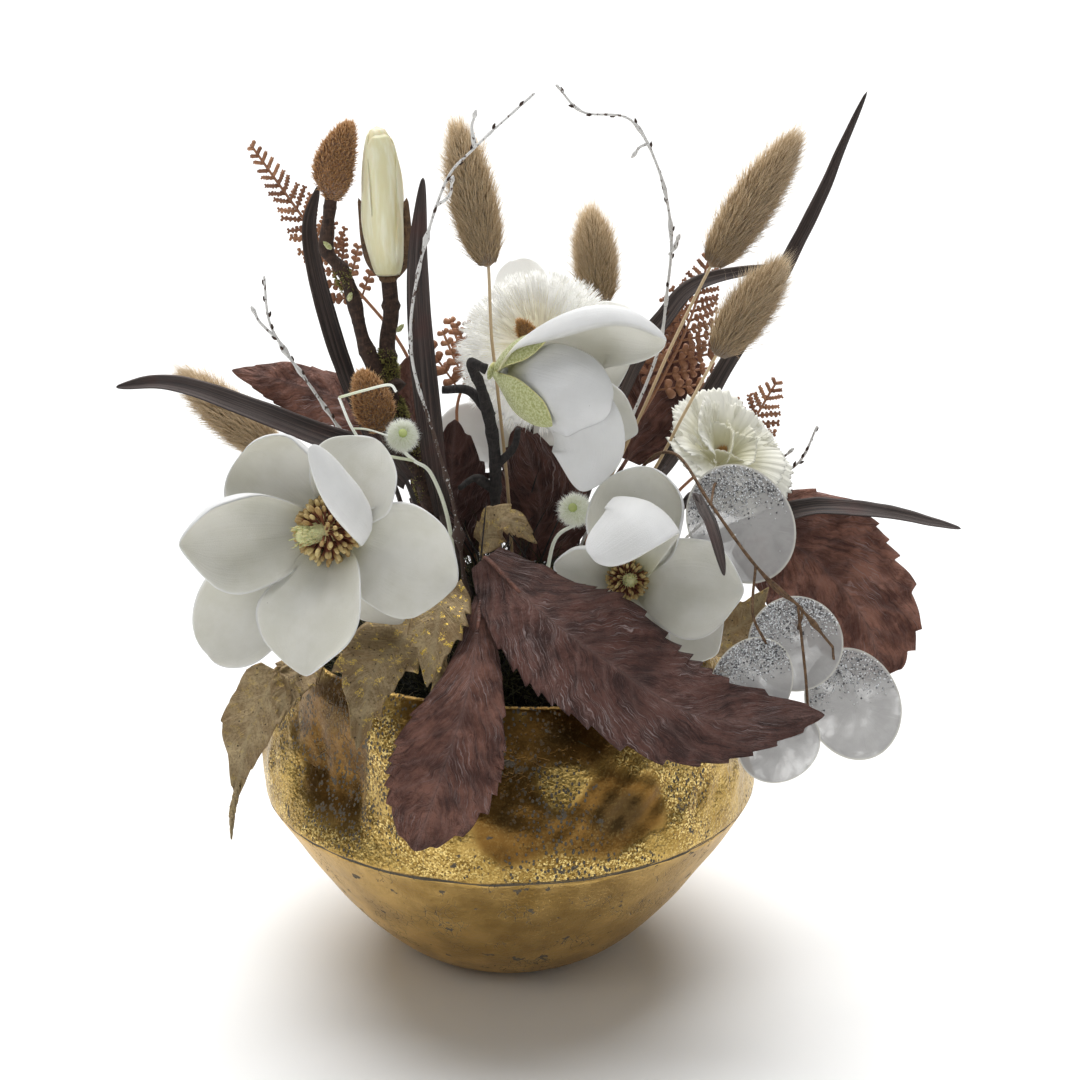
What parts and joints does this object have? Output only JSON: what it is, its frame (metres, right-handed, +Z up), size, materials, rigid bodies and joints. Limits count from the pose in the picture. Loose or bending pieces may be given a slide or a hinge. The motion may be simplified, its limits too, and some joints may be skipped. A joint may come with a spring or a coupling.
{
  "type": "table centerpiece",
  "caption": "Floral table centerpiece: white magnolias, feathery blooms, buds, dried leaves, ferns, grass tails and seed discs in a round dented gold bowl.",
  "frame": {"origin": "centre of the bowl's base, on the table", "axes": "+Z up; -Y towards the front of the arrangement, where the largest blooms and the two hanging leaves are; +X to the viewer's right"},
  "size_m": [0.311, 0.216, 0.3435],
  "materials": {
    "gold": "cast and gilded, dented, with dark pits and brown patina",
    "foam": "dark florist's foam",
    "petal": "soft white foam petal, matt",
    "stamen": "brown and pale yellow, matt",
    "sepal": "yellow green, grained",
    "feather": "fine white fibres",
    "cone": "brown fur",
    "black_bark": "rough black bark",
    "brown_bark": "rough brown bark with moss",
    "cream_bud": "silky pale yellow",
    "dark_blade": "dried strap leaf, near black, with a lengthwise grain",
    "burgundy_leaf": "dried leaf, red brown with pale fibres",
    "gilded_leaf": "pale gold paint with glitter",
    "white_twig": "whitewashed bark with dark specks",
    "copper_fern": "copper paint",
    "grass_tail": "tan dried grass hairs",
    "honesty_disc": "translucent grey seed disc with silver glitter",
    "pompom": "white fuzz"
  },
  "bodies": {
    "root": {"blade_1": "dark_blade", "blade_2": "dark_blade", "blade_3": "dark_blade", "blade_4": "dark_blade", "blade_5": "dark_blade", "blade_6": "dark_blade", "blade_7": "dark_blade", "bowl": "gold", "bud_branch": "brown_bark", "bud_cream": "cream_bud", "bud_cream_scales": "brown_bark", "bud_low": "cone", "bud_top": "cone", "feather_left_cone": "cone", "feather_left_petals": "feather", "feather_left_stem": "brown_bark", "feather_right_cone": "cone", "feather_right_petals": "feather", "feather_right_stem": "brown_bark", "fern_1": "copper_fern", "fern_2": "copper_fern", "fern_3": "copper_fern", "fern_4": "copper_fern", "foam_block": "foam", "gold_centre": "gilded_leaf", "gold_left": "gilded_leaf", "gold_right": "gilded_leaf", "gold_small": "gilded_leaf", "honesty": "honesty_disc", "leaf_front": "burgundy_leaf", "leaf_hanging": "burgundy_leaf", "leaf_inner_left": "burgundy_leaf", "leaf_inner_right": "burgundy_leaf", "leaf_left": "burgundy_leaf", "leaf_rear": "burgundy_leaf", "leaf_right": "burgundy_leaf", "leaf_small": "burgundy_leaf", "magnolia_front_left_petals": "petal", "magnolia_front_left_stamens": "stamen", "magnolia_front_left_stem": "brown_bark", "magnolia_rear_petals": "petal", "magnolia_rear_stamens": "stamen", "magnolia_rear_stem": "brown_bark", "magnolia_right_petals": "petal", "magnolia_right_stamens": "stamen", "magnolia_right_stem": "brown_bark", "magnolia_top_petals": "petal", "magnolia_top_sepals": "sepal", "magnolia_top_twig": "black_bark", "pompom_left": "pompom", "pompom_right": "pompom", "tail_1": "grass_tail", "tail_2": "grass_tail", "tail_3": "grass_tail", "tail_4": "grass_tail", "tail_5": "grass_tail", "twig_1": "white_twig", "twig_2": "white_twig", "twig_3": "white_twig", "twig_4": "white_twig"}
  },
  "joints": []
}
